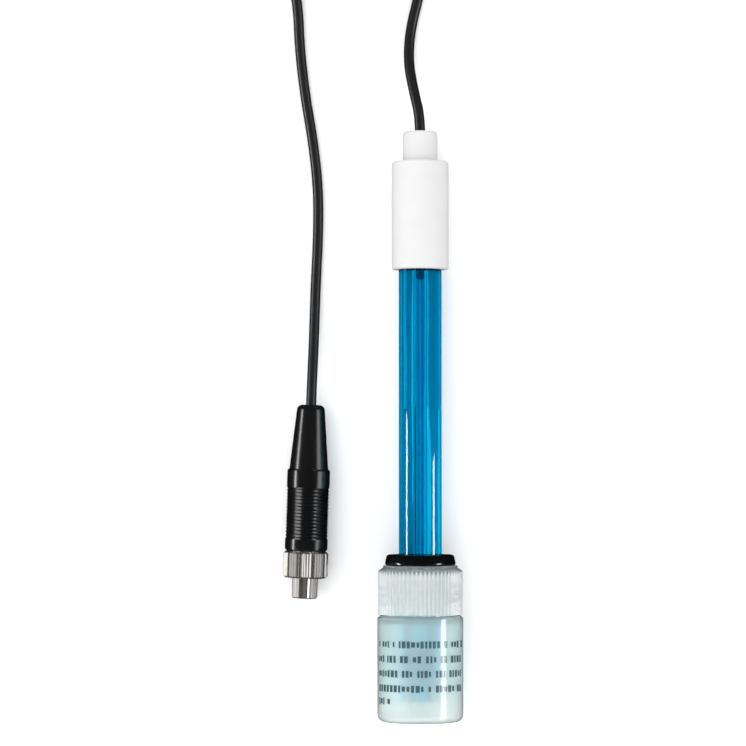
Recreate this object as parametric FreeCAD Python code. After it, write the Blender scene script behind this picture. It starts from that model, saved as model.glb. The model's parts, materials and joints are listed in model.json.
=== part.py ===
"""Redox electrode in its storage bottle, with its lead and plug, lying on a bench.

Everything is in millimetres.  The electrode is drawn about its own axis, with station 0 at the
bottom of the bottle, and is then laid down: it rests on the cap's top edge and the head's top edge.
"""
import math
import os

import FreeCAD
import Part

Vector = FreeCAD.Vector
Rotation = FreeCAD.Rotation
Placement = FreeCAD.Placement

# Clearances
seat_gap = 0.03          # glued or pressed pieces in their seats
slide_gap = 0.08         # rubber on the shaft, nut on the barrel
thread_gap = 0.2         # crest of the neck's thread to crest of the cap's

# Body tube and what it holds
tube_r = 6.0
tube_wall = 1.0
tip_clear = 5.0          # bottle floor to the tube's lower end
guard_len = 7.5          # slotted end that shields the sensor
guard_slots = 4
guard_slot_w = 3.2
stem_r = 2.0
stem_wall = 0.7
stem_tip_inset = 2.6     # tube end to the stem's closed end
platinum_r = 0.5
platinum_len = 1.6
platinum_root = 1.0      # pin beyond the glass, inside the stem
lead_r = 0.25
junction_len = 2.5
seal_plug_len = 4.0
stopper_len = 3.9
potting_len = 10.0
reference_r = 0.35
reference_side = 3.0     # distance of the silver wire from the axis
reference_len = 40.0     # wire seen below the head

# White head
head_r = 8.0
head_len = 30.3
head_edge = 0.4
head_bottom = 126.5      # station of its lower rim
head_socket = 11.0
head_room_len = 13.0
head_room_r = 5.0
neck_r = 4.85
neck_len = 8.5
head_chamfer = 0.5
entry_gap = 0.15
entry_len = 3.0
bushing_wall = 0.8

# Storage bottle
bottle_r = 12.0
bottle_wall = 1.0
bottle_floor = 0.8
bottle_corner = 2.0
bottle_len = 29.5
shoulder_edge = 0.6
neck_tube_r = 8.8
neck_tube_wall = 1.4
neck_tube_len = 9.8
neck_chamfer = 0.4
thread_depth = 0.7       # room that the fine thread takes on each side

# Screw cap
cap_r = 11.85
cap_gap = 0.3            # cap's rim to the bottle's shoulder
cap_top_wall = 1.2
cap_shoulder = 1.45
cap_shoulder_len = 1.0
cap_land = 0.5
rib_count = 60
rib_depth = 0.3
cap_hole_gap = 0.6

# Rubber
gasket_len = 3.0
gasket_side_gap = 0.3
ring_r = 9.95            # at its lower edge, the wider one
ring_top_r = 9.5
ring_edge = 0.45
ring_len = 3.1

# Lead
cord_r = 1.45
cord_entry = 5.3         # how far it runs into the head
core_r = 0.8
coil_x = -17.0
coil_y = 146.5
coil_r = 16.5            # middle of the turns
coil_in = 4.0            # middle to the inner face
coil_out = 6.9           # middle to the outer face
coil_height = 11.6
coil_edge = 2.0
tie_width = 6.0
tie_thick = 0.5
tie_gap = 0.1
tie_angle = 90.0

# Plug, measured from the top of its boot
plug_x = -30.7
plug_y = 5.9
plug_turn = 1.98         # degrees off the electrode's direction
boot_len = 18.0
boot_top_r = 3.95
boot_base_r = 5.45
boot_round = 1.6
boot_spigot = 4.0
boot_spigot_r = 4.2
boot_grip = 7.0          # length that holds the lead
sleeve_r = 6.0
sleeve_len = 23.1
sleeve_bore_r = 4.6
sleeve_edge = 0.5
groove_count = 15
groove_pitch = 0.97
groove_depth = 0.35
groove_start = 5.2
nut_r = 6.3
nut_len = 7.4
nut_chamfer = 0.6
nut_gap = 0.15
knurl_count = 48
knurl_depth = 0.3
clip_seat = 4.4          # rear of the nut to its inner step
clip_len = 0.6
clip_r = 4.15
clip_groove = 0.4
clip_mouth = 60.0        # degrees left open in the ring
nut_recess_r = 4.4
nut_seat_r = 3.8         # barrel where the nut turns on it
nut_seat_len = 5.5
barrel_r = 3.6
barrel_out = 5.8         # barrel beyond the nut
barrel_wall = 0.6
barrel_bore_len = 8.0
barrel_hub_len = 10.0
insulator_core_r = 2.0
insulator_recess = 3.5
pin_r = 0.65
pin_inset = 0.7
lead_end = 11.0          # how far the lead runs into the plug
ferrule_wall = 0.7
ferrule_len = 12.0

# Stations along the electrode
tube_bottom = bottle_floor + tip_clear
tube_bore_r = tube_r - tube_wall
head_top = head_bottom + head_len
neck_top = head_top + neck_len
socket_top = head_bottom + head_socket
room_top = socket_top + head_room_len
stem_bottom = tube_bottom + stem_tip_inset
junction_bottom = tube_bottom + guard_len
plug_bottom = junction_bottom + junction_len
potting_top = socket_top - seat_gap
potting_bottom = potting_top - potting_len
stem_top = potting_bottom - seat_gap
gasket_bottom = bottle_len + neck_tube_len
cap_inner_top = gasket_bottom + gasket_len
cap_top = cap_inner_top + cap_top_wall
cap_bottom = bottle_len + cap_gap
cap_bore_r = neck_tube_r + 2 * thread_depth + thread_gap
cap_edge = cap_top - cap_land - cap_shoulder_len
core_bottom = socket_top + head_room_len / 2
cord_start = neck_top - cord_entry
bushing_r = cord_r + seat_gap + bushing_wall
bushing_top = neck_top - entry_len

# Stations along the plug
sleeve_start = boot_len
sleeve_end = sleeve_start + sleeve_len
nut_start = sleeve_end + nut_gap
nut_end = nut_start + nut_len
nut_seat_end = nut_start + nut_seat_len
barrel_end = nut_end + barrel_out
barrel_back = sleeve_end - barrel_hub_len
barrel_bore_back = barrel_end - barrel_bore_len
pin_back = barrel_back - 2.0

# How the electrode lies
rest_tilt = math.atan2(cap_r - head_r, (head_top - head_edge) - cap_edge)


def flat(radius, station):
    """Point of a section through the axis."""
    return Vector(radius, 0, station)


def turned(outline):
    """Solid turned about the axis from (radius, station) points.

    A point of four numbers is an arc through its first pair to its second.  An outline that
    doesn't end where it starts is closed by a straight line.
    """
    here = flat(*outline[0])
    edges = []
    for step in outline[1:] + outline[:1]:
        end = flat(*step[-2:])
        if end.isEqual(here, 1e-6):
            continue
        if len(step) == 4:
            edges.append(Part.Arc(here, flat(*step[:2]), end).toShape())
        else:
            edges.append(Part.LineSegment(here, end).toShape())
        here = end
    face = Part.Face(Part.Wire(edges))
    return face.revolve(Vector(0, 0, 0), Vector(0, 0, 1), 360)


def rod(radius, low, high):
    """Plain round bar along the axis."""
    return Part.makeCylinder(radius, high - low, Vector(0, 0, low))


def pipe(outer, inner, low, high):
    """Round bar with a hole through it."""
    return rod(outer, low, high).cut(rod(inner, low, high))


def toothed_bar(tip_r, depth, count, low, high):
    """Bar with straight V ribs, one rib on each of the four main directions."""
    points = []
    for tooth in range(count):
        for part, radius in ((0.0, tip_r), (0.5, tip_r - depth)):
            angle = 2 * math.pi * (tooth + part) / count
            points.append(Vector(radius * math.cos(angle), radius * math.sin(angle), low))
    face = Part.Face(Part.makePolygon(points + points[:1]))
    return face.extrude(Vector(0, 0, high - low))


def arc_path(points):
    """Straight runs joined by tangent arcs, each as large as its two runs allow."""
    edges = []
    radii = []
    here = points[0]
    for before, point, after in zip(points, points[1:], points[2:]):
        towards = (before - point).normalize()
        away = (after - point).normalize()
        turn = math.pi - towards.getAngle(away)
        trim = 0.45 * min((before - point).Length, (after - point).Length)
        radius = trim / math.tan(turn / 2)
        start = point + towards * trim
        end = point + away * trim
        inwards = (towards + away).normalize()
        middle = point + inwards * (radius / math.cos(turn / 2) - radius)
        edges.append(Part.LineSegment(here, start).toShape())
        edges.append(Part.Arc(start, middle, end).toShape())
        radii.append(radius)
        here = end
    edges.append(Part.LineSegment(here, points[-1]).toShape())
    return Part.Wire(edges), radii


def bent_rod(points, radius):
    """Round bar along a path of runs and arcs."""
    path, radii = arc_path(points)
    along = (points[1] - points[0]).normalize()
    section = Part.Wire(Part.makeCircle(radius, points[0], along))
    return path.makePipeShell([section], True, False), path.Length, radii


def cord_run(name, points):
    """One stretch of the lead, with its radii and volume printed."""
    solid, length, radii = bent_rod(points, cord_r)
    expected = math.pi * cord_r ** 2 * length
    print(f"{name}: length {length:.1f}, least radius {min(radii):.1f}, "
          f"volume ratio {solid.Volume / expected:.4f}")
    print("  radii", " ".join(f"{radius:.0f}" for radius in radii))
    return solid


def body_tube():
    """Clear blue shaft, its lower end slotted to let the liquid reach the sensor."""
    tube = pipe(tube_r, tube_bore_r, tube_bottom, socket_top - seat_gap)
    slot_top = tube_bottom + guard_len - guard_slot_w / 2 - 1.0
    for index in range(guard_slots // 2):
        cutter = Part.makeBox(3 * tube_r, guard_slot_w, slot_top - tube_bottom + 1)
        cutter.translate(Vector(-1.5 * tube_r, -guard_slot_w / 2, tube_bottom - 1))
        arch = Part.makeCylinder(guard_slot_w / 2, 3 * tube_r,
                                 Vector(-1.5 * tube_r, 0, slot_top), Vector(1, 0, 0))
        slot = cutter.fuse(arch)
        turn = (index + 0.5) * 360 / guard_slots
        slot.rotate(Vector(0, 0, 0), Vector(0, 0, 1), turn)
        tube = tube.cut(slot)
    return tube


def glass_stem():
    """Inner glass tube, closed round the platinum at its lower end, with its top in the head."""
    bore_r = stem_r - stem_wall
    low = stem_bottom
    grip = platinum_r + seat_gap
    dome_cut = (stem_r - grip) * (1 - math.sqrt(0.5))
    return turned([
        (grip, low), (stem_r - dome_cut, low + dome_cut, stem_r, low + stem_r - grip),
        (stem_r, stem_top), (bore_r, stem_top), (bore_r, low + stem_r + bore_r),
        (grip, low + stem_r),
    ])


def platinum_tip():
    """Platinum pin sealed in the stem's end, chamfered outside."""
    low = stem_bottom - platinum_len
    high = stem_bottom + stem_r + platinum_root
    edge = platinum_r / 2
    return turned([
        (0, low), (platinum_r - edge, low), (platinum_r, low + edge), (platinum_r, high),
        (0, high),
    ])


def sensor_lead():
    """Wire from the platinum up the stem to the lead's core."""
    return rod(lead_r, stem_bottom + stem_r + platinum_root, core_bottom)


def reference_wire():
    """Silver wire beside the stem, with the slight bends of a hand-fitted one."""
    top = potting_bottom + potting_len * 0.8
    seen = reference_len / 4
    points = [
        Vector(-reference_side, 0, top),
        Vector(-reference_side + 0.1, 0.2, potting_bottom - seen * 0.5),
        Vector(-reference_side - 0.2, -0.3, potting_bottom - seen * 1.7),
        Vector(-reference_side + 0.2, 0.2, potting_bottom - seen * 2.9),
        Vector(-reference_side, 0.0, potting_bottom - seen * 4.0),
    ]
    solid, _, _ = bent_rod(points, reference_r)
    return solid


def junction_plug():
    """Porous ring round the stem where the reference gel meets the liquid."""
    return pipe(tube_bore_r - seat_gap, stem_r + seat_gap, junction_bottom,
                junction_bottom + junction_len)


def tip_bushing():
    """Rubber bush above the junction that centres the stem."""
    low = plug_bottom + seat_gap
    return turned([
        (stem_r + seat_gap, low), (tube_bore_r - seat_gap, low),
        (tube_bore_r - seat_gap, low + seal_plug_len * 0.7),
        (stem_r + 1.0, low + seal_plug_len), (stem_r + seat_gap, low + seal_plug_len),
    ])


def top_plug():
    """Resin stopper in the stem's top, with a round lower end, seen just under the head."""
    bore_r = lead_r + seat_gap
    outer = stem_r - stem_wall - seat_gap
    low = stem_top - stopper_len
    cut = (outer - bore_r) * (1 - math.sqrt(0.5))
    return turned([
        (bore_r, low), (outer - cut, low + cut, outer, low + outer - bore_r),
        (outer, stem_top), (bore_r, stem_top),
    ])


def head_potting():
    """Resin that closes the tube's top, with the wires through it."""
    plug = pipe(tube_bore_r - seat_gap, lead_r + seat_gap, potting_bottom, potting_top)
    hole_top = potting_bottom + potting_len * 0.8 + 0.5
    hole = Part.makeCylinder(reference_r + 0.15, hole_top - potting_bottom + 1,
                             Vector(-reference_side + 0.03, 0.05, potting_bottom - 1))
    return plug.cut(hole)


def electrode_head():
    """White moulded head, bored for the tube, the joint room, the bushing and the lead."""
    outside = turned([
        (0, head_bottom), (head_r - head_edge, head_bottom),
        (head_r, head_bottom + head_edge), (head_r, head_top - head_edge),
        (head_r - head_edge, head_top), (neck_r + 0.35, head_top), (neck_r, head_top + 0.35),
        (neck_r, neck_top - head_chamfer), (neck_r - head_chamfer, neck_top), (0, neck_top),
    ])
    inside = turned([
        (0, head_bottom), (tube_r + seat_gap, head_bottom), (tube_r + seat_gap, socket_top),
        (head_room_r, socket_top), (head_room_r, room_top), (bushing_r + seat_gap, room_top),
        (bushing_r + seat_gap, bushing_top), (cord_r + entry_gap, bushing_top),
        (cord_r + entry_gap, neck_top), (0, neck_top),
    ])
    return outside.cut(inside)


def cable_bushing():
    """Rubber bushing in the head's neck that grips the lead."""
    step = cord_start - seat_gap
    return turned([
        (core_r + seat_gap, room_top + 0.5), (bushing_r, room_top + 0.5),
        (bushing_r, bushing_top - seat_gap), (cord_r + seat_gap, bushing_top - seat_gap),
        (cord_r + seat_gap, step), (core_r + seat_gap, step),
    ])


def cable_core():
    """Stripped core of the lead, joined to the sensor's wire in the head."""
    return rod(core_r, core_bottom, cord_start)


def bottle():
    """Soft storage bottle with a rounded foot, a shoulder and a neck."""
    inner_r = bottle_r - bottle_wall
    inner_corner = bottle_corner - bottle_wall
    inner_top = bottle_len - bottle_wall
    cut = bottle_corner * (1 - math.sqrt(0.5))
    bore_r = neck_tube_r - neck_tube_wall
    return turned([
        (0, 0), (bottle_r - bottle_corner, 0),
        (bottle_r - cut, cut, bottle_r, bottle_corner),
        (bottle_r, bottle_len - shoulder_edge), (bottle_r - shoulder_edge, bottle_len),
        (neck_tube_r, bottle_len), (neck_tube_r, gasket_bottom - neck_chamfer),
        (neck_tube_r - neck_chamfer, gasket_bottom), (bore_r, gasket_bottom),
        (bore_r, inner_top), (inner_r - inner_corner, inner_top),
        (inner_r, inner_top - inner_corner), (inner_r, bottle_floor + inner_corner),
        (inner_r - inner_corner, bottle_floor), (0, bottle_floor),
    ])


def bottle_cap():
    """Ribbed screw cap with a hole for the shaft."""
    envelope = turned([
        (0, cap_bottom), (cap_r, cap_bottom), (cap_r, cap_edge),
        (cap_r - cap_shoulder, cap_top - cap_land), (cap_r - cap_shoulder, cap_top), (0, cap_top),
    ])
    ribbed = toothed_bar(cap_r, rib_depth, rib_count, cap_bottom, cap_top).common(envelope)
    hollow = turned([
        (0, cap_bottom - 1), (cap_bore_r, cap_bottom - 1), (cap_bore_r, cap_inner_top - 0.5),
        (cap_bore_r - 0.5, cap_inner_top), (0, cap_inner_top),
    ])
    hole = rod(tube_r + cap_hole_gap, cap_inner_top - 1, cap_top + 1)
    return ribbed.cut(hollow).cut(hole)


def neck_gasket():
    """Rubber washer squeezed between the neck and the cap, which grips the shaft."""
    outer = cap_bore_r - thread_depth - gasket_side_gap
    return pipe(outer, tube_r + slide_gap, gasket_bottom, cap_inner_top)


def stop_ring():
    """Black rubber ring on the cap, wider towards the cap, with bevelled edges."""
    bore = tube_r + slide_gap
    top = cap_top + ring_len
    return turned([
        (bore, cap_top), (ring_r - ring_edge, cap_top), (ring_r, cap_top + ring_edge),
        (ring_top_r, top - ring_edge), (ring_top_r - ring_edge, top), (bore, top),
    ])


def plug_boot():
    """Tapered rubber boot at the back of the plug, with a spigot inside the sleeve."""
    round_cut = boot_round * (1 - math.sqrt(0.5))
    outside = turned([
        (0, 0), (boot_top_r - boot_round, 0),
        (boot_top_r - round_cut, round_cut, boot_top_r, boot_round),
        (boot_base_r, boot_len), (boot_spigot_r, boot_len),
        (boot_spigot_r, boot_len + boot_spigot), (0, boot_len + boot_spigot),
    ])
    ferrule_r = cord_r + seat_gap + ferrule_wall
    inside = turned([
        (0, 0), (cord_r + seat_gap, 0), (cord_r + seat_gap, boot_grip),
        (ferrule_r + seat_gap, boot_grip), (ferrule_r + seat_gap, boot_len + boot_spigot),
        (0, boot_len + boot_spigot),
    ])
    return outside.cut(inside)


def plug_sleeve():
    """Black grip sleeve with a band of ring grooves."""
    outline = [(sleeve_bore_r, sleeve_start), (sleeve_r - sleeve_edge, sleeve_start),
               (sleeve_r, sleeve_start + sleeve_edge)]
    for index in range(groove_count):
        low = sleeve_start + groove_start + index * groove_pitch
        outline += [(sleeve_r, low), (sleeve_r - groove_depth, low + groove_pitch / 2)]
    outline += [(sleeve_r, sleeve_start + groove_start + groove_count * groove_pitch)]
    outline += [(sleeve_r, sleeve_end - sleeve_edge), (sleeve_r - sleeve_edge, sleeve_end),
                (sleeve_bore_r, sleeve_end)]
    sleeve = turned(outline)
    seat = rod(boot_spigot_r + seat_gap, sleeve_start - 1, sleeve_start + boot_spigot + 0.2)
    return sleeve.fuse(sleeve_collar()).cut(seat)


def sleeve_collar():
    """Step inside the sleeve's back end that the boot's spigot snaps into."""
    return pipe(sleeve_bore_r + 0.1, boot_spigot_r - 0.8, sleeve_start + 0.1,
                sleeve_start + boot_spigot + 1.2)


def plug_ferrule():
    """Crimped metal sleeve round the end of the lead."""
    inner = cord_r + seat_gap
    return pipe(inner + ferrule_wall, inner, boot_grip + seat_gap, boot_grip + ferrule_len)


def plug_lead():
    """Stripped core from the lead's end to the plug's pin."""
    return rod(core_r, lead_end, pin_back)


def plug_barrel():
    """Plated barrel: its hub in the sleeve, the nut's seat with the clip's groove, the free end."""
    groove_low = nut_start + clip_seat + 0.05
    groove_high = groove_low + clip_len + 0.1
    groove_r = nut_seat_r - clip_groove
    hub_r = sleeve_bore_r - seat_gap
    bore_r = barrel_r - barrel_wall
    core = insulator_core_r + seat_gap
    return turned([
        (core, barrel_back), (hub_r, barrel_back), (hub_r, sleeve_end),
        (nut_seat_r, sleeve_end), (nut_seat_r, groove_low), (groove_r, groove_low),
        (groove_r, groove_high), (nut_seat_r, groove_high), (nut_seat_r, nut_seat_end),
        (barrel_r, nut_seat_end), (barrel_r, barrel_end - 0.3), (barrel_r - 0.3, barrel_end),
        (bore_r, barrel_end), (bore_r, barrel_bore_back), (core, barrel_bore_back),
    ])


def plug_insulator():
    """White insulator that holds the pin in the barrel."""
    pin_hole = pin_r + seat_gap
    wide = barrel_r - barrel_wall - seat_gap
    low = barrel_bore_back + seat_gap
    return turned([
        (pin_hole, barrel_back + 0.5), (insulator_core_r, barrel_back + 0.5),
        (insulator_core_r, low), (wide, low), (wide, barrel_end - insulator_recess),
        (pin_hole, barrel_end - insulator_recess),
    ])


def plug_pin():
    """Centre contact, pointed at its end."""
    top = barrel_end - pin_inset
    return turned([
        (0, pin_back), (pin_r, pin_back), (pin_r, top - pin_r), (pin_r / 2, top), (0, top),
    ])


def coupling_nut():
    """Knurled nut that turns on the barrel."""
    envelope = turned([
        (0, nut_start), (nut_r - nut_chamfer, nut_start), (nut_r, nut_start + nut_chamfer),
        (nut_r, nut_end - nut_chamfer), (nut_r - nut_chamfer, nut_end), (0, nut_end),
    ])
    knurled = toothed_bar(nut_r, knurl_depth, knurl_count, nut_start, nut_end).common(envelope)
    inside = turned([
        (0, nut_start - 1), (nut_seat_r + slide_gap, nut_start - 1),
        (nut_seat_r + slide_gap, nut_start + clip_seat), (nut_recess_r, nut_start + clip_seat),
        (nut_recess_r, nut_end + 1), (0, nut_end + 1),
    ])
    return knurled.cut(inside)


def nut_clip():
    """Open spring ring in the barrel's groove that keeps the nut on."""
    low = nut_start + clip_seat + 0.1
    ring = pipe(clip_r, nut_seat_r - clip_groove + seat_gap, low, low + clip_len)
    mouth = Part.makeCylinder(clip_r + 1, clip_len + 1, Vector(0, 0, low - 0.5),
                              Vector(0, 0, 1), clip_mouth)
    return ring.cut(mouth)


def cable_coil():
    """Outer shape of the tied coil of spare lead, lying on the bench."""
    low = tie_thick + tie_gap
    high = low + coil_height
    near = coil_r - coil_in
    far = coil_r + coil_out
    coil = turned([
        (near, low), (far, low), (far, high - coil_edge), (far - coil_edge, high), (near, high),
    ])
    coil.translate(Vector(coil_x, coil_y, 0))
    return coil


def coil_tie():
    """Flat strap round the coil's section, clear of the curve on the coil's inner side."""
    near = math.sqrt((coil_r - coil_in) ** 2 - (tie_width / 2) ** 2) - tie_gap
    inner_w = coil_r + coil_out + tie_gap - near
    inner_h = coil_height + 2 * tie_gap
    outer = Part.makeBox(inner_w + 2 * tie_thick, tie_width, inner_h + 2 * tie_thick)
    inner = Part.makeBox(inner_w, tie_width, inner_h)
    inner.translate(Vector(tie_thick, 0, tie_thick))
    strap = outer.cut(inner)
    strap.translate(Vector(near - tie_thick, -tie_width / 2, 0))
    strap.rotate(Vector(0, 0, 0), Vector(0, 0, 1), tie_angle)
    strap.translate(Vector(coil_x, coil_y, 0))
    return strap


def rest_placement(pieces):
    """Lays the electrode on the bench, its box centred over the origin."""
    down = Placement(Vector(0, 0, 0), Rotation(Vector(1, 0, 0), -90 - math.degrees(rest_tilt)))
    lying = Part.makeCompound([moved(shape, down) for shape in pieces])
    box = lying.optimalBoundingBox(False)
    shift = Vector(-(box.XMin + box.XMax) / 2, -(box.YMin + box.YMax) / 2, -box.ZMin)
    return Placement(shift, down.Rotation)


def moved(shape, placement):
    """Copy of a shape at a placement."""
    copy = shape.copy()
    copy.Placement = placement.multiply(copy.Placement)
    return copy


def plug_placement():
    """Lays the plug on the bench, boot towards the head's end."""
    upright = Rotation(Vector(1, 0, 0), 90)
    turn = Rotation(Vector(0, 0, 1), -plug_turn)
    return Placement(Vector(plug_x, plug_y, nut_r), turn.multiply(upright))


def head_route(place):
    """Route of the lead from the head to the coil."""
    low = cord_r
    return [
        place.multVec(Vector(0, 0, cord_start)),
        place.multVec(Vector(0.2, 0, neck_top + 3.4)),
        Vector(-1.8, 94.5, 5.6),
        Vector(-3.3, 103.0, 3.0),
        Vector(-2.7, 112.0, low + 0.05),
        Vector(-0.3, 121.5, low),
        Vector(1.6, 133.0, low + 0.2),
        Vector(2.05, coil_y, low + tie_thick + tie_gap),
    ]


def plug_route(place):
    """Route of the lead from the plug to the coil."""
    low = cord_r
    return [
        place.multVec(Vector(0, 0, lead_end)),
        place.multVec(Vector(0, 0.1, -3.0)),
        Vector(-29.95, 24.0, 3.1),
        Vector(-29.5, 39.5, low + 0.1),
        Vector(-28.75, 54.0, low),
        Vector(-28.75, 67.0, low),
        Vector(-30.15, 80.0, low),
        Vector(-32.4, 93.0, low),
        Vector(-34.0, 106.5, low),
        Vector(-34.5, 119.5, low + 0.1),
        Vector(-37.3, 132.5, low + 1.2),
        Vector(-38.9, coil_y, low + 2.6),
    ]


def export(name, shape):
    """Writes one piece to its own file, after a test that it is sound."""
    count = len(shape.Solids)
    if not shape.isValid() or count != 1:
        print(f"check {name}: valid {shape.isValid()}, solids {count}")
    shape.exportStep(f"parts/{name}.step")


electrode_pieces = {
    "electrode_head": electrode_head,
    "cable_bushing": cable_bushing,
    "cable_core": cable_core,
    "head_potting": head_potting,
    "body_tube": body_tube,
    "glass_stem": glass_stem,
    "top_plug": top_plug,
    "sensor_lead": sensor_lead,
    "reference_wire": reference_wire,
    "platinum_tip": platinum_tip,
    "junction_plug": junction_plug,
    "tip_bushing": tip_bushing,
    "bottle": bottle,
    "bottle_cap": bottle_cap,
    "neck_gasket": neck_gasket,
    "stop_ring": stop_ring,
}

plug_pieces = {
    "plug_boot": plug_boot,
    "plug_sleeve": plug_sleeve,
    "plug_ferrule": plug_ferrule,
    "plug_lead": plug_lead,
    "plug_barrel": plug_barrel,
    "plug_insulator": plug_insulator,
    "plug_pin": plug_pin,
    "coupling_nut": coupling_nut,
    "nut_clip": nut_clip,
}


def build():
    """Makes every piece, lays them down and writes them out."""
    os.makedirs("parts", exist_ok=True)
    electrode = {name: make() for name, make in electrode_pieces.items()}
    plug = {name: make() for name, make in plug_pieces.items()}
    at_rest = rest_placement(electrode.values())
    plug_rest = plug_placement()
    for name, shape in electrode.items():
        export(name, moved(shape, at_rest))
    for name, shape in plug.items():
        export(name, moved(shape, plug_rest))
    export("cable_head_run", cord_run("cable_head_run", head_route(at_rest)))
    export("cable_plug_run", cord_run("cable_plug_run", plug_route(plug_rest)))
    export("cable_coil", cable_coil())
    export("coil_tie", coil_tie())
    return at_rest, plug_rest


at_rest, plug_rest = build()
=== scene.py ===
"""Looks of the redox electrode that lies on a bench with its lead and plug."""

import math
import random

import bmesh
import bpy
from mathutils import Matrix, Vector
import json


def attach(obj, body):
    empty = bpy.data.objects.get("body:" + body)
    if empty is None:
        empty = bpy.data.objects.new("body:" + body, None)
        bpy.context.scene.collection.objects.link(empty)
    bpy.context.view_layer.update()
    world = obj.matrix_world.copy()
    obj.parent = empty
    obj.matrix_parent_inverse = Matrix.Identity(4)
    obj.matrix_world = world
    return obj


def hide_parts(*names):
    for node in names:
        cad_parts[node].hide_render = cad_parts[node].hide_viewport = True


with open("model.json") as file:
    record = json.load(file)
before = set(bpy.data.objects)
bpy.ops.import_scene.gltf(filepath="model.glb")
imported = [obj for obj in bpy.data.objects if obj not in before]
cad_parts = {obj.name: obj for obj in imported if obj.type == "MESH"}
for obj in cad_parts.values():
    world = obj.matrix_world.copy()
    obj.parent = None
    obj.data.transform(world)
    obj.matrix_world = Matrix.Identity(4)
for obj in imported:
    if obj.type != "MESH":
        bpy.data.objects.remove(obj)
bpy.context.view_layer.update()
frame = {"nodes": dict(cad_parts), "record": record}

MM = 0.001

# Sizes below are in millimetres and stations are along the electrode's axis, unless said otherwise.

# The photograph's frame: pixels to the real size at the height of the shaft, camera in metres
PHOTO_PX = 746
MM_PER_PX = 0.28
AXIS_PX_X = 420.3
MIDDLE_PX_Y = 426.2
CAMERA_HEIGHT = 0.9
SHAFT_HEIGHT = 0.012
SENSOR_MM = 36.0

# Stage, in metres
FLOOR_HALF = 3.0
WORLD_STRENGTH = 1.36

# Strip lights, in metres: distance, height that they face, and the two spans along the part
STRIP_REACH = 0.9
STRIP_AIM = 0.01
NEAR_SPAN = (-0.65, 0.045)
FAR_SPAN = (-0.6, 0.25)

# Lamps at the corners for the sleeve's grooves, in metres
GROOVE_LAMP_PLACE = (0.65, 0.8, 0.14)
GROOVE_LAMP_AIM = (-0.03, -0.02, 0.01)
GROOVE_LAMP_SIZE = (0.5, 0.4)
GROOVE_LAMP_RADIANCE = 5.0

# Thin lamps under the shaft: distance from its wall and their tint
LINE_LAMP_GAP = 0.25
LINE_LAMP_TINT = (1.0, 1.0, 0.74)

# How the electrode lies, in metres: station 0 is the bottle's bottom, as in the part
BASE = Vector((0.0, -0.0825076516, 0.0132559569))
TILT = math.radians(1.9274958867)
SHARP_ANGLE = 40.0

# Sizes of the part that the added pieces sit in or on
BOTTLE_R = 12.0
BOTTLE_LEN = 29.5
TUBE_R = 6.0
TUBE_BORE_R = 5.0
TUBE_BOTTOM = 5.8
TUBE_TOP = 137.47
GUARD_SLOT_W = 3.2
GUARD_ARCH = 10.7
STEM_R = 2.0
STEM_BORE_R = 1.3
STEM_BOTTOM = 8.4
GEL_BOTTOM = 19.84
GEL_TOP = 127.44
NECK_TUBE_R = 8.8
CAP_BORE_R = 10.4
RIB_COUNT = 60

# Floor of the stem's bore in the shaft, and the gap between the shaft and the stem's own piece
BORE_FLOOR = 0.5
STEM_GAP = 0.04

# Rounding of the stop ring's edges
RING_EDGE = 0.35

# Stations where the tone of the shaft's and the bottle's end is full, and where it is gone; the
# shaft's lighter tone there is painted light, standing in for the light the milky bottle spreads
# onto it
SHAFT_PAINTED_LIGHT_END = (26.0, 45.0)
PALE_END = (4.0, 10.0)

# Painted shade of the cap: shares of a rib's spacing for the painted shade in the valleys, and the
# toothed band of painted shade at its top, where the black ring shows through
VALLEY_SHADE = (0.15, 0.45)
SHADE_BAND_LOW = 42.0
SHADE_BAND_FADE = 0.5
TEETH = 1.5

# Limits that most values of a noise lie between
NOISE_RANGE = (0.3, 0.7)

# Screw threads of the neck and the cap, with the run-out in turns
THREAD_PITCH = 2.0
THREAD_DEPTH = 0.7
THREAD_TURNS = 3.25
THREAD_FOOT = 1.5
THREAD_CREST = 0.5
THREAD_STEPS = 64
THREAD_RUN_OUT = 0.25
THREAD_END_SHARE = 0.05
THREAD_SINK = 0.02
NECK_THREAD_LOW = BOTTLE_LEN + 2.0
CAP_THREAD_LOW = BOTTLE_LEN + 2.6

# Lead, with its length in metres
CORD_R = 1.45

# Coil of the lead: the climb between layers is in turns, and the last half turn swings out
COIL_CENTRE = (-17.0, 146.5)
COIL_R = 16.5
COIL_LOW = 0.6
LAYERS = 4
TURNS_PER_LAYER = 1.75
POINTS_PER_TURN = 16
CLIMB = 0.3
SWING_OUT = 3.0
SWING_RATE = 1.6
COIL_TURNS = LAYERS * TURNS_PER_LAYER
COIL_WIDTH = TURNS_PER_LAYER * 2 * CORD_R
COIL_OUTER = COIL_R + COIL_WIDTH / 2

# Runs of the lead outside the coil, from the head and from the plug
HEAD_ROUTE = [
    (0.0, 77.402, 7.874),
    (0.2, 86.097, 7.582),
    (-1.8, 94.5, 5.6),
    (-3.3, 103.0, 3.0),
    (-2.7, 112.0, 1.5),
    (-0.3, 121.5, 1.45),
    (1.6, 133.0, 1.65),
    (2.05, 146.5, 2.05),
]
PLUG_ROUTE = [
    (-31.080, -5.093, 6.3),
    (-30.596, 8.898, 6.4),
    (-29.95, 24.0, 3.1),
    (-29.5, 39.5, 1.55),
    (-28.75, 54.0, 1.45),
    (-28.75, 67.0, 1.45),
    (-30.15, 80.0, 1.45),
    (-32.4, 93.0, 1.45),
    (-34.0, 106.5, 1.45),
    (-34.5, 119.5, 1.55),
    (-37.3, 132.5, 2.65),
    (-38.9, 146.5, 4.05),
]

# Print on the bottle, replaced by plain blocks: where the rows run, in degrees from the front
PRINT_STATIONS = [21.9, 17.8, 13.8, 9.7, 6.1]
PRINT_START = -72
PRINT_END = 70
LAST_ROW_END = -44

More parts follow.
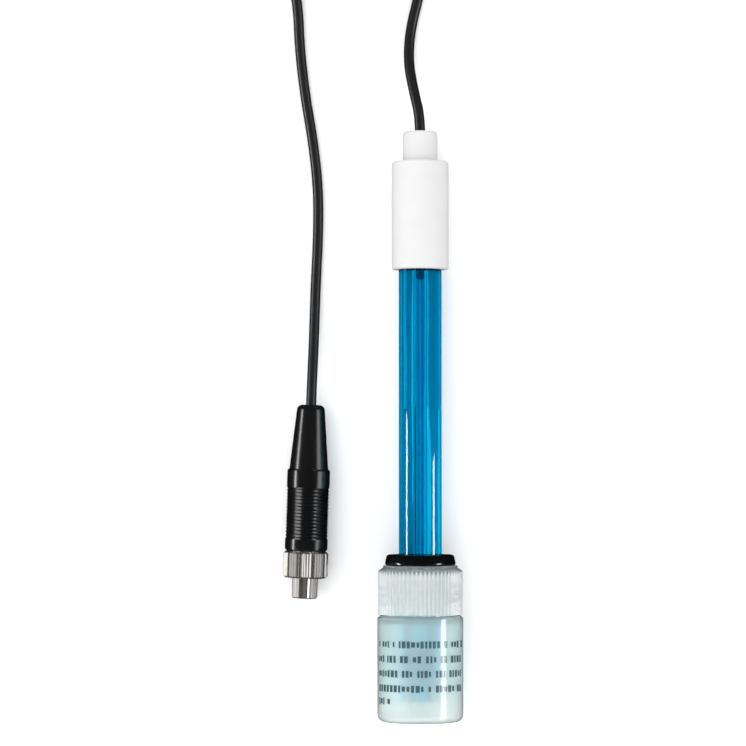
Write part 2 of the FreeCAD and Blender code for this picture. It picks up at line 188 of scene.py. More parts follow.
# Blocks of the print: widths and gaps in radians, lifts from the bottle's wall
PRINT_HEIGHT = 1.9
BLOCK_HEIGHTS = [0.75, 1.0, 1.0]
BLOCK_WIDTHS = (0.045, 0.095)
BLOCK_GAPS = [0.03, 0.035, 0.04, 0.12]
BLOCK_LIFTS = (0.005, 0.035)
BLOCK_COLUMNS = 4


def from_px(x, y):
    """Real X and Y, in metres, of a point of the photograph at the shaft's height."""
    return (x - AXIS_PX_X) * MM_PER_PX * MM, (MIDDLE_PX_Y - y) * MM_PER_PX * MM


def local_matrix():
    """Places a piece drawn about its own Z axis, from station 0, onto the electrode's axis."""
    turn = Matrix.Rotation(-math.pi / 2 - TILT, 4, "X")
    return Matrix.Translation(BASE) @ turn


# Lead


def triangle_wave(turns):
    """Share of the way in from the outer turn: 0 at the outside, 1 at the inside."""
    phase = (turns / TURNS_PER_LAYER) % 2.0
    return phase if phase <= 1.0 else 2.0 - phase


def layer_height(turns):
    """Layer of the coil, with a short climb at each change."""
    height = 0.0
    for change in range(1, LAYERS):
        along = (turns - change * TURNS_PER_LAYER) / CLIMB + 0.5
        height += min(max(along, 0.0), 1.0)
    return height


def wound_points():
    """Layers of the coil, wound in and out, as (turns, radius, height)."""
    points = []
    for step in range(1, int(COIL_TURNS * POINTS_PER_TURN) + 1):
        turns = step / POINTS_PER_TURN
        radius = COIL_OUTER - COIL_WIDTH * triangle_wave(turns)
        height = COIL_LOW + CORD_R + layer_height(turns) * 2 * CORD_R
        points.append((turns, radius, height))
    return points


def leaving_points(last_height):
    """Last half turn, outside the others and down to where the plug's run begins."""
    drop = last_height - PLUG_ROUTE[-1][2]
    steps = POINTS_PER_TURN // 2
    points = []
    for step in range(1, steps):
        share = step / steps
        radius = COIL_OUTER + SWING_OUT * min(1.0, share * SWING_RATE)
        points.append((COIL_TURNS + share / 2, radius, last_height - drop * share))
    return points


def coil_points():
    """Middle line of the coil, from the head's run to the plug's run."""
    points = wound_points()
    points += leaving_points(points[-1][2])
    placed = []
    for turns, radius, height in points:
        angle = 2 * math.pi * turns
        placed.append((
            COIL_CENTRE[0] + radius * math.cos(angle),
            COIL_CENTRE[1] + radius * math.sin(angle),
            height,
        ))
    return placed


def make_lead():
    """The whole lead as one smooth spline, from the head through the coil to the plug."""
    route = HEAD_ROUTE + coil_points() + PLUG_ROUTE[::-1]
    curve = bpy.data.curves.new("lead", "CURVE")
    curve.dimensions = "3D"
    curve.bevel_depth = CORD_R * MM
    curve.bevel_resolution = 6
    curve.resolution_u = 8
    curve.use_fill_caps = True
    spline = curve.splines.new("NURBS")
    spline.points.add(len(route) - 1)
    for point, place in zip(spline.points, route):
        point.co = (place[0] * MM, place[1] * MM, place[2] * MM, 1.0)
    spline.order_u = 3
    spline.use_endpoint_u = True
    lead = bpy.data.objects.new("lead", curve)
    bpy.context.scene.collection.objects.link(lead)
    return lead


# Helpers for pieces


def add_mesh(name, vertices, faces, smooth=True):
    """New mesh piece from lists of points and faces."""
    mesh = bpy.data.meshes.new(name)
    mesh.from_pydata(vertices, [], faces)
    mesh.validate()
    for polygon in mesh.polygons:
        polygon.use_smooth = smooth
    piece = bpy.data.objects.new(name, mesh)
    bpy.context.scene.collection.objects.link(piece)
    return piece


def face_outwards(piece):
    """Turns every face of a closed piece outwards."""
    mesh_edit = bmesh.new()
    mesh_edit.from_mesh(piece.data)
    bmesh.ops.recalc_face_normals(mesh_edit, faces=mesh_edit.faces)
    mesh_edit.to_mesh(piece.data)
    mesh_edit.free()
    return piece


def ring_points(radius, station, segments):
    """Points round the electrode's axis."""
    points = []
    for index in range(segments):
        angle = 2 * math.pi * index / segments
        points.append(Vector((radius * math.cos(angle), radius * math.sin(angle), station)) * MM)
    return points


def lathe(name, outline, segments=96):
    """Solid turned about the electrode's axis from (radius, station) points.

    The outline starts and ends on the axis, and its first and last points are the two poles.
    """
    place = local_matrix()
    rings = outline[1:-1]
    vertices = [Vector((0, 0, outline[0][1])) * MM, Vector((0, 0, outline[-1][1])) * MM]
    for radius, station in rings:
        vertices += ring_points(radius, station, segments)
    faces = []
    last_row = 2 + (len(rings) - 1) * segments
    for index in range(segments):
        right = (index + 1) % segments
        faces.append((0, 2 + right, 2 + index))
        faces.append((1, last_row + index, last_row + right))
        for row in range(len(rings) - 1):
            low = 2 + row * segments
            high = low + segments
            faces.append((low + index, low + right, high + right, high + index))
    piece = face_outwards(add_mesh(name, [place @ vertex for vertex in vertices], faces))
    piece.data.set_sharp_from_angle(angle=math.radians(SHARP_ANGLE))
    return piece


def screw_ridge(name, root_r, crest_r, low):
    """Screw ridge of trapezium section that runs out at both ends."""
    place = local_matrix()
    steps = int(THREAD_TURNS * THREAD_STEPS)
    vertices = []
    for step in range(steps + 1):
        angle = 2 * math.pi * step / THREAD_STEPS
        share = min(step, steps - step) / (THREAD_STEPS * THREAD_RUN_OUT)
        height = THREAD_END_SHARE + (1 - THREAD_END_SHARE) * min(1.0, share)
        crest = root_r + (crest_r - root_r) * height
        middle = low + THREAD_PITCH * step / THREAD_STEPS
        section = [
            (root_r, middle - THREAD_FOOT / 2), (crest, middle - THREAD_CREST / 2),
            (crest, middle + THREAD_CREST / 2), (root_r, middle + THREAD_FOOT / 2),
        ]
        for radius, station in section:
            local = Vector((radius * math.cos(angle), radius * math.sin(angle), station)) * MM
            vertices.append(place @ local)
    faces = [(0, 1, 2, 3)]
    for step in range(steps):
        here = step * 4
        for side in range(4):
            after = (side + 1) % 4
            faces.append((here + side, here + after, here + 4 + after, here + 4 + side))
    end = steps * 4
    faces.append((end + 3, end + 2, end + 1, end))
    return face_outwards(add_mesh(name, vertices, faces, smooth=False))


def guard_cutter(turn):
    """Bar with a round end that cuts one pair of slots right across the shaft's guard."""
    half = GUARD_SLOT_W / 2
    arch_steps = 16
    profile = [(-half, TUBE_BOTTOM - 1), (half, TUBE_BOTTOM - 1)]
    for step in range(arch_steps + 1):
        angle = math.pi * step / arch_steps
        profile.append((half * math.cos(angle), GUARD_ARCH + half * math.sin(angle)))
    place = local_matrix() @ Matrix.Rotation(turn, 4, "Z")
    count = len(profile)
    reach = 1.5 * TUBE_R
    vertices = []
    for side in (-reach, reach):
        vertices += [place @ (Vector((side, across, station)) * MM) for across, station in profile]
    faces = [tuple(range(count)), tuple(range(2 * count - 1, count - 1, -1))]
    for index in range(count):
        after = (index + 1) % count
        faces.append((index, after, count + after, count + index))
    return face_outwards(add_mesh("guard_cutter", vertices, faces, smooth=False))


def apply_cut(piece, cutter):
    """Cuts one piece out of another and removes the cutter."""
    cut = piece.modifiers.new("cut", "BOOLEAN")
    cut.operation = "DIFFERENCE"
    cut.solver = "EXACT"
    cut.object = cutter
    evaluated = piece.evaluated_get(bpy.context.evaluated_depsgraph_get())
    piece.data = bpy.data.meshes.new_from_object(evaluated)
    piece.modifiers.clear()
    bpy.data.objects.remove(cutter)


def make_shaft():
    """Clear shaft with the gel and the glass stem in it as one, since all bend light alike."""
    bore_low = GEL_BOTTOM + BORE_FLOOR
    shaft = lathe("shaft", [
        (0.0, GEL_BOTTOM), (TUBE_BORE_R, GEL_BOTTOM), (TUBE_BORE_R, TUBE_BOTTOM),
        (TUBE_R, TUBE_BOTTOM), (TUBE_R, TUBE_TOP), (TUBE_BORE_R, TUBE_TOP),
        (TUBE_BORE_R, GEL_TOP), (STEM_BORE_R, GEL_TOP), (STEM_BORE_R, bore_low), (0.0, bore_low),
    ], 128)
    for turn in (math.pi / 4, 3 * math.pi / 4):
        apply_cut(shaft, guard_cutter(turn))
    shaft.data.set_sharp_from_angle(angle=math.radians(SHARP_ANGLE))
    return shaft


def line_bore(shaft, glass):
    """Gives the stem's bore in the shaft its own glass."""
    shaft.data.materials.append(glass)
    back = local_matrix().inverted()
    for face in shaft.data.polygons:
        local = back @ face.center
        if math.hypot(local.x, local.y) < 1.1 * STEM_BORE_R * MM:
            face.material_index = 1


def make_stem():
    """Lower end of the glass stem: a tube with a round closed end, up to the gel."""
    top = GEL_BOTTOM - STEM_GAP
    outline = [(0.0, STEM_BOTTOM)]
    steps = 6
    for step in range(1, steps + 1):
        angle = math.pi / 2 * step / steps
        outline.append((STEM_R * math.sin(angle), STEM_BOTTOM + STEM_R * (1 - math.cos(angle))))
    outline += [(STEM_R, top), (STEM_BORE_R, top)]
    for step in range(steps + 1):
        angle = math.pi / 2 * step / steps
        station = STEM_BOTTOM + STEM_R - STEM_BORE_R * math.sin(angle)
        outline.append((STEM_BORE_R * math.cos(angle), station))
    return lathe("stem", outline, 96)


def round_edges(piece, width):
    """Rounds a solid's edges with modifiers, so that its corners catch the light."""
    weld = piece.modifiers.new("weld", "WELD")
    weld.merge_threshold = 0.001 * MM
    bevel = piece.modifiers.new("bevel", "BEVEL")
    bevel.width = width * MM
    bevel.segments = 4
    bevel.limit_method = "ANGLE"
    bevel.angle_limit = math.radians(25)
    bevel.harden_normals = True


def make_print():
    """Rows of plain blocks where the bottle has its print, bent to its wall."""
    draw = random.Random(7)
    place = local_matrix()
    vertices = []
    faces = []
    for station in PRINT_STATIONS:
        angle = math.radians(PRINT_START)
        is_last = station == PRINT_STATIONS[-1]
        row_end = math.radians(LAST_ROW_END if is_last else PRINT_END)
        while angle < row_end:
            width = draw.uniform(*BLOCK_WIDTHS)
            height = PRINT_HEIGHT * draw.choice(BLOCK_HEIGHTS)
            add_block(vertices, faces, place, (angle, angle + width), (station, height))
            angle += width + draw.choice(BLOCK_GAPS)
    return add_mesh("bottle_print", vertices, faces, smooth=False)


def add_block(vertices, faces, place, angles, band):
    """One closed block of print: a thin plate on the bottle's wall."""
    station, height = band
    last_column = BLOCK_COLUMNS - 1
    first = len(vertices)
    for column in range(BLOCK_COLUMNS):
        angle = angles[0] + (angles[1] - angles[0]) * column / last_column
        for lift in BLOCK_LIFTS:
            radius = (BOTTLE_R + lift) * MM
            for edge in (station - height / 2, station + height / 2):
                local = Vector((radius * math.sin(angle), -radius * math.cos(angle), edge * MM))
                vertices.append(place @ local)
    for column in range(last_column):
        here = first + column * 4
        there = here + 4
        faces.append((here, there, there + 1, here + 1))
        faces.append((here + 2, here + 3, there + 3, there + 2))
        faces.append((here, here + 2, there + 2, there))
        faces.append((here + 1, there + 1, there + 3, here + 3))
    last = first + last_column * 4
    faces.append((first, first + 1, first + 3, first + 2))
    faces.append((last, last + 2, last + 3, last + 1))


# Materials


def new_material(name, color, roughness, **sockets):
    """Principled material with constant values set on its own sockets."""
    material = bpy.data.materials.new(name)
    material.use_nodes = True
    shader = material.node_tree.nodes["Principled BSDF"]
    shader.inputs["Base Color"].default_value = (*color, 1.0)
    shader.inputs["Roughness"].default_value = roughness
    for socket, value in sockets.items():
        shader.inputs[socket.replace("_", " ")].default_value = value
    return material


def add_noise(material, scale, stretch=(1.0, 1.0, 1.0), detail=4.0):
    """Noise over the object's own coordinates, in features a metre."""
    nodes = material.node_tree.nodes
    links = material.node_tree.links
    coords = nodes.new("ShaderNodeTexCoord")
    mapping = nodes.new("ShaderNodeMapping")
    mapping.inputs["Scale"].default_value = stretch
    noise = nodes.new("ShaderNodeTexNoise")
    noise.inputs["Scale"].default_value = scale
    noise.inputs["Detail"].default_value = detail
    links.new(coords.outputs["Object"], mapping.inputs["Vector"])
    links.new(mapping.outputs["Vector"], noise.inputs["Vector"])
    return noise


def add_bump(material, noise, strength, distance):
    """Relief from a noise."""
    nodes = material.node_tree.nodes
    links = material.node_tree.links
    bump = nodes.new("ShaderNodeBump")
    bump.inputs["Strength"].default_value = strength
    bump.inputs["Distance"].default_value = distance
    links.new(noise.outputs["Fac"], bump.inputs["Height"])
    links.new(bump.outputs["Normal"], nodes["Principled BSDF"].inputs["Normal"])


def add_range(material, noise, socket, low, high):
    """Varies one value of the shader between two limits."""
    nodes = material.node_tree.nodes
    links = material.node_tree.links
    spread = nodes.new("ShaderNodeMapRange")
    spread.inputs["From Min"].default_value = NOISE_RANGE[0]
    spread.inputs["From Max"].default_value = NOISE_RANGE[1]
    spread.inputs["To Min"].default_value = low
    spread.inputs["To Max"].default_value = high
    links.new(noise.outputs["Fac"], spread.inputs["Value"])
    links.new(spread.outputs["Result"], nodes["Principled BSDF"].inputs[socket])


def add_tones(material, noise, dark, light):
    """Varies the base colour between two tones."""
    nodes = material.node_tree.nodes
    links = material.node_tree.links
    ramp = nodes.new("ShaderNodeValToRGB")
    for element, place, tone in zip(ramp.color_ramp.elements, NOISE_RANGE, (dark, light)):
        element.position = place
        element.color = (*tone, 1.0)
    links.new(noise.outputs["Fac"], ramp.inputs["Fac"])
    links.new(ramp.outputs["Color"], nodes["Principled BSDF"].inputs["Base Color"])


def mix_tone(material, value, none, full, tone):
    """Fades the base colour over to a tone as a value goes from one limit to another."""
    nodes = material.node_tree.nodes
    links = material.node_tree.links
    base = nodes["Principled BSDF"].inputs["Base Color"]
    fade = nodes.new("ShaderNodeMapRange")
    fade.inputs["From Min"].default_value = none
    fade.inputs["From Max"].default_value = full
    mix = nodes.new("ShaderNodeMix")
    mix.data_type = "RGBA"
    mix.inputs["B"].default_value = (*tone, 1.0)
    links.new(value, fade.inputs["Value"])
    links.new(fade.outputs["Result"], mix.inputs["Factor"])
    links.new(base.links[0].from_socket, mix.inputs["A"])
    links.new(mix.outputs["Result"], base)


def add_end_tone(material, tone, full, none):
    """Other tone toward the bottle's end, reached at one station and gone at another."""
    nodes = material.node_tree.nodes
    coords = nodes.new("ShaderNodeTexCoord")
    parts = nodes.new("ShaderNodeSeparateXYZ")
    material.node_tree.links.new(coords.outputs["Object"], parts.inputs["Vector"])
    mix_tone(material, parts.outputs["Y"], BASE.y + none * MM, BASE.y + full * MM, tone)


def place_about_axis(material):
    """Coordinates about the electrode's axis, with Z along it from station 0."""
    nodes = material.node_tree.nodes
    coords = nodes.new("ShaderNodeTexCoord")
    mapping = nodes.new("ShaderNodeMapping")
    mapping.vector_type = "TEXTURE"
    mapping.inputs["Location"].default_value = BASE
    mapping.inputs["Rotation"].default_value = (-math.pi / 2 - TILT, 0.0, 0.0)
    material.node_tree.links.new(coords.outputs["Object"], mapping.inputs["Vector"])
    return mapping.outputs["Vector"]


def add_math(material, operation, value, number):
    """Works on a value with one number."""
    node = material.node_tree.nodes.new("ShaderNodeMath")
    node.operation = operation
    node.inputs[1].default_value = number
    material.node_tree.links.new(value, node.inputs[0])
    return node


def valley_share(material, place):
    """Place between two ribs: 0 at the middle of a rib and 0.5 at the middle of a valley."""
    turn_share = material.node_tree.nodes.new("ShaderNodeTexGradient")
    turn_share.gradient_type = "RADIAL"
    material.node_tree.links.new(place, turn_share.inputs["Vector"])
    ribs = add_math(material, "MULTIPLY", turn_share.outputs["Fac"], RIB_COUNT)
    return add_math(material, "PINGPONG", ribs.outputs["Value"], 0.5).outputs["Value"]


def toothed_station(material, place, valley):
    """Station raised toward the valleys, so that a band that starts at one has teeth."""
    parts = material.node_tree.nodes.new("ShaderNodeSeparateXYZ")
    material.node_tree.links.new(place, parts.inputs["Vector"])
    raised = add_math(material, "MULTIPLY_ADD", valley, 2 * TEETH * MM)
    material.node_tree.links.new(parts.outputs["Z"], raised.inputs[2])
    return raised.outputs["Value"]


def add_rib_shade(material, painted_valley_shade, painted_band_shade):
    """Painted shade in the valleys of the cap's ribs, and a band of painted shade with teeth at the
    cap's top, in place of the black ring seen through it.
    """
    place = place_about_axis(material)
    valley = valley_share(material, place)
    # Painted shade: darker colour in the valleys between the ribs
    mix_tone(material, valley, *VALLEY_SHADE, painted_valley_shade)
    station = toothed_station(material, place, valley)
    # Painted shade: a dark toothed band at the cap's top, standing in for the black ring seen
    # through the cap
    mix_tone(material, station, SHADE_BAND_LOW * MM, (SHADE_BAND_LOW + SHADE_BAND_FADE) * MM, painted_band_shade)


def white_plastic():
    """Head: satin moulded plastic with a fine spark-eroded grain."""
    material = new_material("white_plastic", (0.61, 0.61, 0.612), 0.4, IOR=1.5)
    grain = add_noise(material, 9000.0)
    add_bump(material, grain, 0.12, 0.00004)
    cloud = add_noise(material, 240.0)
    add_tones(material, cloud, (0.6, 0.6, 0.602), (0.62, 0.62, 0.622))
    return material


def blue_clear():
    """Shaft: clear blue plastic with faint drawing lines along it, and painted light in a lighter
    blue where it lies in the bottle.
    """
    material = new_material("blue_clear", (0.001, 0.24, 0.46), 0.02, IOR=1.5,
                            Transmission_Weight=1.0)
    lines = add_noise(material, 1400.0, (1.0, 0.02, 1.0), 2.0)
    add_bump(material, lines, 0.12, 0.00008)
    cloud = add_noise(material, 160.0, (1.0, 0.1, 1.0))
    add_tones(material, cloud, (0.001, 0.22, 0.44), (0.002, 0.26, 0.48))
    # Painted light: a much lighter blue where the shaft lies in the bottle and the cap
    add_end_tone(material, (0.02, 0.7, 0.9), *SHAFT_PAINTED_LIGHT_END)
    return material


def clear_glass():
    """Stem: thin clear glass with a faint tint."""
    material = new_material("clear_glass", (0.38, 0.72, 0.84), 0.01, IOR=1.5,
                            Transmission_Weight=1.0)
    lines = add_noise(material, 600.0, (1.0, 0.03, 1.0), 1.0)
    add_bump(material, lines, 0.06, 0.00005)
    return material


def frosted_bottle():
    """Bottle: soft milky plastic that shows what is in it as a blur."""
    material = new_material("frosted_bottle", (0.92, 0.985, 0.99), 0.42, IOR=1.3,
                            Transmission_Weight=0.84, Coat_Weight=1.0,
                            Coat_Roughness=0.05)
    cloud = add_noise(material, 350.0)
    add_tones(material, cloud, (0.84, 0.975, 0.995), (0.86, 0.985, 1.0))
    add_end_tone(material, (0.92, 0.99, 0.985), *PALE_END)
    grain = add_noise(material, 2500.0)
    add_bump(material, grain, 0.1, 0.00005)
    return material


def frosted_cap():
    """Cap: the same plastic, thicker and ribbed, with painted shade in its rib valleys and at its
    top.
    """
    material = new_material("frosted_cap", (0.94, 0.99, 1.0), 0.22, IOR=1.3,
                            Transmission_Weight=0.66, Coat_Weight=0.5,
                            Coat_Roughness=0.1)
    cloud = add_noise(material, 500.0)
    add_tones(material, cloud, (0.94, 0.985, 0.99), (0.96, 0.995, 1.0))
    # Painted shade: darker rib valleys, and a dark toothed band at the top in place of the black
    # ring seen through the cap
    add_rib_shade(material, (0.86, 0.93, 0.945), (0.42, 0.48, 0.5))
    grain = add_noise(material, 3000.0)
    add_bump(material, grain, 0.12, 0.00005)
    return material


def ring_rubber():
    """Ring on the cap: wet-looking black rubber."""
    material = new_material("ring_rubber", (0.003, 0.003, 0.0032), 0.16, IOR=1.5,
                            Coat_Weight=0.5, Coat_Roughness=0.06)
    grain = add_noise(material, 2500.0)
    add_bump(material, grain, 0.06, 0.00004)
    add_range(material, grain, "Roughness", 0.12, 0.22)
    return material


def black_rubber():
    """Boot and bushing: satin rubber."""
    material = new_material("black_rubber", (0.006, 0.006, 0.0065), 0.22, IOR=1.5)
    grain = add_noise(material, 5000.0)
    add_bump(material, grain, 0.2, 0.00005)
    add_range(material, grain, "Roughness", 0.18, 0.27)
    return material


def black_plastic():
    """Grip sleeve: moulded plastic with a soft gloss."""
    material = new_material("black_plastic", (0.005, 0.005, 0.0055), 0.2, IOR=1.5)
    grain = add_noise(material, 7000.0)
    add_bump(material, grain, 0.12, 0.00004)
    add_range(material, grain, "Roughness", 0.15, 0.25)
    return material


def lead_jacket():
    """Lead: extruded jacket, slightly uneven along it."""
    material = new_material("lead_jacket", (0.011, 0.011, 0.012), 0.34, IOR=1.5)
    grain = add_noise(material, 1800.0)
    add_bump(material, grain, 0.15, 0.00006)
    add_range(material, grain, "Roughness", 0.28, 0.42)
    return material


def nickel():
    """Plug metal: bright plating with a faint turned haze."""
    material = new_material("nickel", (0.7, 0.67, 0.64), 0.14, Metallic=0.93)
    haze = add_noise(material, 900.0, (1.0, 6.0, 1.0))
    add_range(material, haze, "Roughness", 0.08, 0.2)
    add_bump(material, haze, 0.05, 0.00003)
    return material


def wire(name, color, roughness):
    """Drawn metal wire."""
    material = new_material(name, color, roughness, Metallic=1.0)
    lines = add_noise(material, 3000.0, (1.0, 0.05, 1.0))
    add_bump(material, lines, 0.1, 0.00002)
    return material


def grey_rubber():
    """Gasket and bush: dull light grey rubber."""
    material = new_material("grey_rubber", (0.56, 0.59, 0.6), 0.6)
    grain = add_noise(material, 3000.0)
    add_bump(material, grain, 0.2, 0.00005)
    add_tones(material, grain, (0.52, 0.55, 0.56), (0.6, 0.63, 0.64))
    return material


def resin():
    """Potting and stopper resin: dark and glossy."""
    material = new_material("resin", (0.05, 0.1, 0.13), 0.12, Coat_Weight=0.5)
    cloud = add_noise(material, 700.0)
    add_tones(material, cloud, (0.03, 0.08, 0.11), (0.07, 0.13, 0.16))
    return material


def porous_ceramic():
    """Junction: sintered white ceramic."""
    material = new_material("porous_ceramic", (0.86, 0.86, 0.84), 0.8)
    grain = add_noise(material, 6000.0)
    add_bump(material, grain, 0.5, 0.0001)
    add_tones(material, grain, (0.76, 0.76, 0.74), (0.9, 0.9, 0.88))
    return material


def white_insulator():
    """Plug insulator: waxy white."""
    material = new_material("white_insulator", (0.88, 0.88, 0.86), 0.4,
                            Subsurface_Weight=0.2)
    grain = add_noise(material, 3000.0)
    add_bump(material, grain, 0.1, 0.00004)
    return material


def tie_strap():
    """Strap of the coil: matt black with a fine grain."""
    material = new_material("tie_strap", (0.03, 0.03, 0.033), 0.6)
    grain = add_noise(material, 2500.0)
    add_bump(material, grain, 0.3, 0.0001)
    return material


def print_ink():
    """Dark slate ink, a little uneven."""
    material = new_material("print_ink", (0.03, 0.09, 0.105), 0.45, Coat_Weight=1.0,
                            Coat_Roughness=0.05)
    cloud = add_noise(material, 1500.0)
    add_tones(material, cloud, (0.025, 0.08, 0.095), (0.05, 0.11, 0.125))
    return material


def bench_white():
    """Plain pale surface that everything lies on."""
    material = new_material("bench_white", (0.95, 0.95, 0.95), 0.9)
    material.node_tree.nodes["Principled BSDF"].inputs["Specular IOR Level"].default_value = 0.1
    return material


def dress_nodes():
    """Gives each solid of the part its material."""
    finishes = {
        "white_plastic": white_plastic(),
        "blue_clear": blue_clear(),
        "clear_glass": clear_glass(),
        "frosted_bottle": frosted_bottle(),
        "frosted_cap": frosted_cap(),
        "ring_rubber": ring_rubber(),
        "black_rubber": black_rubber(),
        "black_plastic": black_plastic(),
        "lead_jacket": lead_jacket(),
        "nickel": nickel(),
        "tinned_wire": wire("tinned_wire", (0.75, 0.75, 0.76), 0.25),
        "silver_wire": wire("silver_wire", (0.8, 0.81, 0.82), 0.3),
        "platinum": wire("platinum", (0.78, 0.77, 0.74), 0.15),
        "spring_steel": wire("spring_steel", (0.6, 0.6, 0.61), 0.3),
        "grey_rubber": grey_rubber(),
        "resin": resin(),
        "porous_ceramic": porous_ceramic(),
        "white_insulator": white_insulator(),
        "tie_strap": tie_strap(),
    }
    for row in frame["record"]["subparts"]:
        node = frame["nodes"][row["node"]]
        node.data.materials.clear()
        node.data.materials.append(finishes[row["material_slot"]])
    return finishes


# Stage


def make_floor():
    """Large pale plane at the bench's height, not seen in mirror reflections."""
    half = FLOOR_HALF
    corners = [(-half, -half, 0), (half, -half, 0), (half, half, 0), (-half, half, 0)]
    floor = add_mesh("bench", corners, [(0, 1, 2, 3)], smooth=False)
    floor.data.materials.append(bench_white())
    floor.visible_glossy = False


def make_world():
    """Soft white surroundings, not seen in mirror reflections."""
    world = bpy.data.worlds.new("studio")
    bpy.context.scene.world = world
    world.use_nodes = True
    background = world.node_tree.nodes["Background"]
    background.inputs["Color"].default_value = (1.0, 1.0, 1.0, 1.0)
    background.inputs["Strength"].default_value = WORLD_STRENGTH
    world.cycles_visibility.glossy = False


def add_softbox(name, place, target, size, radiance):
    """Rectangular soft light that faces a point."""
    light = bpy.data.lights.new(name, "AREA")
    light.shape = "RECTANGLE"
    light.size, light.size_y = size
    light.energy = radiance * math.pi * size[0] * size[1]
    lamp = bpy.data.objects.new(name, light)
    bpy.context.scene.collection.objects.link(lamp)
    lamp.location = place
    away = Vector(place) - Vector(target)
    lamp.rotation_euler = away.to_track_quat("Z", "Y").to_euler()
    return lamp


def restrict(lamp, pieces, through=False):
    """Shows a lamp only in the reflections of some pieces, or only through them."""
    lamp.visible_diffuse = False
    lamp.visible_glossy = not through
    lamp.visible_transmission = through
    lit = bpy.data.collections.new(lamp.name)
    for piece in pieces:
        lit.objects.link(piece)
    lamp.light_linking.receiver_collection = lit


def add_strip(name, lean, span, width, radiance, pieces, through=False):
    """Strip light along some pieces, at an angle from upright."""
    angle = math.radians(lean)
    middle = (0.0, (span[0] + span[1]) / 2, STRIP_AIM)
    place = (STRIP_REACH * math.sin(angle), middle[1], STRIP_REACH * math.cos(angle))
    strip = add_softbox(name, place, middle, (span[1] - span[0], width), radiance)
    restrict(strip, pieces, through)


def add_groove_lamps(sleeve):
    """Low lamps at the four corners that light the flanks of the sleeve's grooves."""
    across, along, height = GROOVE_LAMP_PLACE
    for side in (-1, 1):
        for end in (-1, 1):
            lamp = add_softbox(f"groove_{side}_{end}", (side * across, end * along, height),
                               GROOVE_LAMP_AIM, GROOVE_LAMP_SIZE, GROOVE_LAMP_RADIANCE)
            restrict(lamp, [sleeve])


def add_line_lamp(name, shaft, offset, width, span, radiance):
    """Thin lamp under the shaft in place of a bright line that a clear rod throws there."""
    size = (width * MM, (span[1] - span[0]) * MM)
    lamp = add_softbox(name, (0, 0, 0), (0, 0, -1), size, radiance)
    lamp.data.shape = "ELLIPSE"
    lamp.data.color = LINE_LAMP_TINT
    under = Vector((offset, TUBE_R + LINE_LAMP_GAP, (span[0] + span[1]) / 2)) * MM
    facing_up = Matrix.Rotation(-math.pi / 2, 4, "X")
    lamp.matrix_world = local_matrix() @ Matrix.Translation(under) @ facing_up
    restrict(lamp, [shaft], through=True)


def add_fill():
    """Soft light from above that gives no glare."""
    fill = add_softbox("fill", (-0.75, 0.0, 1.1), (0.0, 0.0, 0.01), (1.6, 1.6), 0.8)
    fill.visible_glossy = False


def add_electrode_strips(shaft, marks):
    """Highlights of the shaft, the ring and the bottle, and the glow inside the shaft."""
    ring = frame["nodes"]["stop_ring"]
    bottle = frame["nodes"]["bottle"]
    add_strip("shaft_left", -77, (-0.65, 0.028), 0.15, 20.0, [shaft, ring])
    add_strip("shaft_right", 75, (-0.65, 0.005), 0.19, 15.0, [shaft])
    add_strip("glow_left", -74, NEAR_SPAN, 0.25, 2.6, [shaft], through=True)
    add_strip("glow_right", 74, NEAR_SPAN, 0.4, 4.2, [shaft], through=True)
    add_strip("bottle_right", 63.5, NEAR_SPAN, 0.24, 9.0, [bottle, ring, marks])


def add_plug_strips(lead):
    """Highlights of the plug and the lead.

    The two edge strips stand below the bench, which doesn't hide them from mirror reflections.
    """
    nodes = frame["nodes"]
    black = [nodes["plug_boot"], nodes["plug_sleeve"], nodes["plug_insulator"], lead]
    barrel = [nodes["plug_barrel"], nodes["plug_pin"]]
    nut = [nodes["coupling_nut"]]
    for name, lean, width, radiance, pieces in (
            ("plug_left", -74, 0.14, 16.0, black),
            ("plug_right", 64, 0.4, 4.0, black),
            ("barrel_left", -76, 0.7, 0.75, barrel),
            ("barrel_edge_left", -118, 0.9, 0.75, barrel),
            ("barrel_edge_right", 118, 0.9, 0.4, barrel),
            ("barrel_top", -2, 0.45, 0.08, barrel),
            ("barrel_line", 33, 0.16, 5.0, barrel),
            ("barrel_right", 68, 0.7, 0.35, barrel),
            ("nut_left", -66, 0.8, 1.35, nut),
            ("nut_top", 0, 0.9, 0.55, nut),
            ("nut_right", 68, 0.5, 1.2, nut)):
        add_strip(name, lean, FAR_SPAN, width, radiance, pieces)


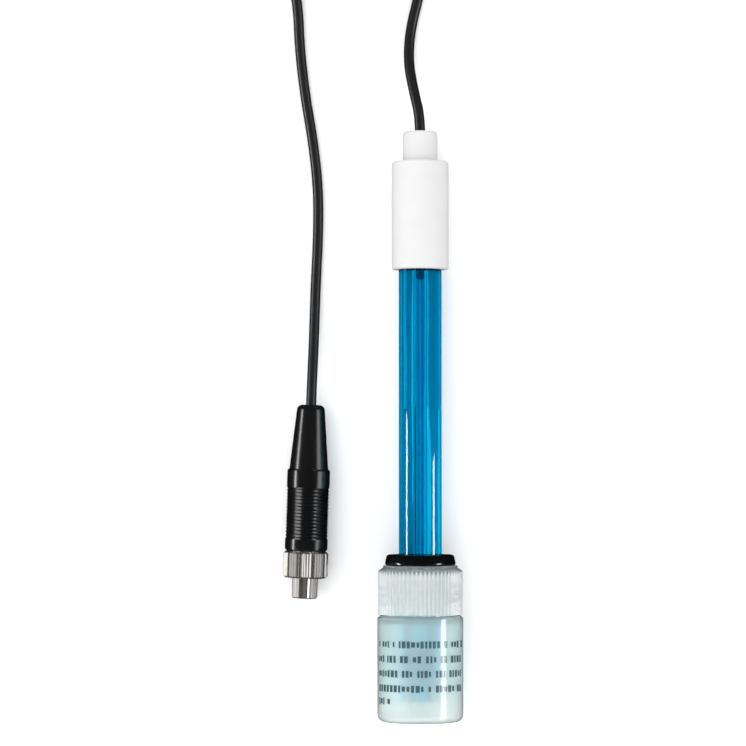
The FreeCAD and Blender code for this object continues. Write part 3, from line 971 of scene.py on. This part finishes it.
def make_lights(shaft, lead, marks):
    """A fill, strips on either side for the highlights of each material, and small lamps."""
    add_fill()
    add_electrode_strips(shaft, marks)
    add_plug_strips(lead)
    add_groove_lamps(frame["nodes"]["plug_sleeve"])
    add_line_lamp("line_low", shaft, 0.72, 0.42, (26.0, 88.0), 0.95)
    add_line_lamp("line_left", shaft, -0.52, 0.18, (60.0, 134.0), 0.9)
    add_line_lamp("line_right", shaft, 0.7, 0.14, (80.0, 134.0), 0.8)


def make_camera():
    """Looks straight down on the middle of the photograph."""
    middle_x, middle_y = from_px(PHOTO_PX / 2, PHOTO_PX / 2)
    data = bpy.data.cameras.new("camera")
    data.sensor_width = SENSOR_MM
    data.lens = SENSOR_MM * CAMERA_HEIGHT / (PHOTO_PX * MM_PER_PX * MM)
    data.clip_start = 0.05
    data.clip_end = 20.0
    camera = bpy.data.objects.new("camera", data)
    bpy.context.scene.collection.objects.link(camera)
    camera.location = (middle_x, middle_y, SHAFT_HEIGHT + CAMERA_HEIGHT)
    bpy.context.scene.camera = camera


make_camera()
make_world()
make_floor()
finishes = dress_nodes()

lead = make_lead()
lead.data.materials.append(finishes["lead_jacket"])
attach(lead, "electrode")
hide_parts("cable_head_run", "cable_coil", "cable_plug_run")

shaft = make_shaft()
shaft.data.materials.clear()
shaft.data.materials.append(finishes["blue_clear"])
line_bore(shaft, finishes["clear_glass"])
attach(shaft, "electrode")
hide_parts("body_tube")

stem = make_stem()
stem.data.materials.append(finishes["clear_glass"])
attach(stem, "electrode")
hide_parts("glass_stem")

neck_thread = screw_ridge("neck_thread", NECK_TUBE_R - THREAD_SINK, NECK_TUBE_R + THREAD_DEPTH,
                          NECK_THREAD_LOW)
neck_thread.data.materials.append(finishes["frosted_bottle"])
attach(neck_thread, "bottle")
cap_thread = screw_ridge("cap_thread", CAP_BORE_R + THREAD_SINK, CAP_BORE_R - THREAD_DEPTH,
                         CAP_THREAD_LOW)
cap_thread.data.materials.append(finishes["frosted_cap"])
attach(cap_thread, "cap")

marks = make_print()
marks.data.materials.append(print_ink())
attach(marks, "bottle")

round_edges(frame["nodes"]["stop_ring"], RING_EDGE)
make_lights(shaft, lead, marks)

bpy.context.scene.view_settings.view_transform = "Standard"
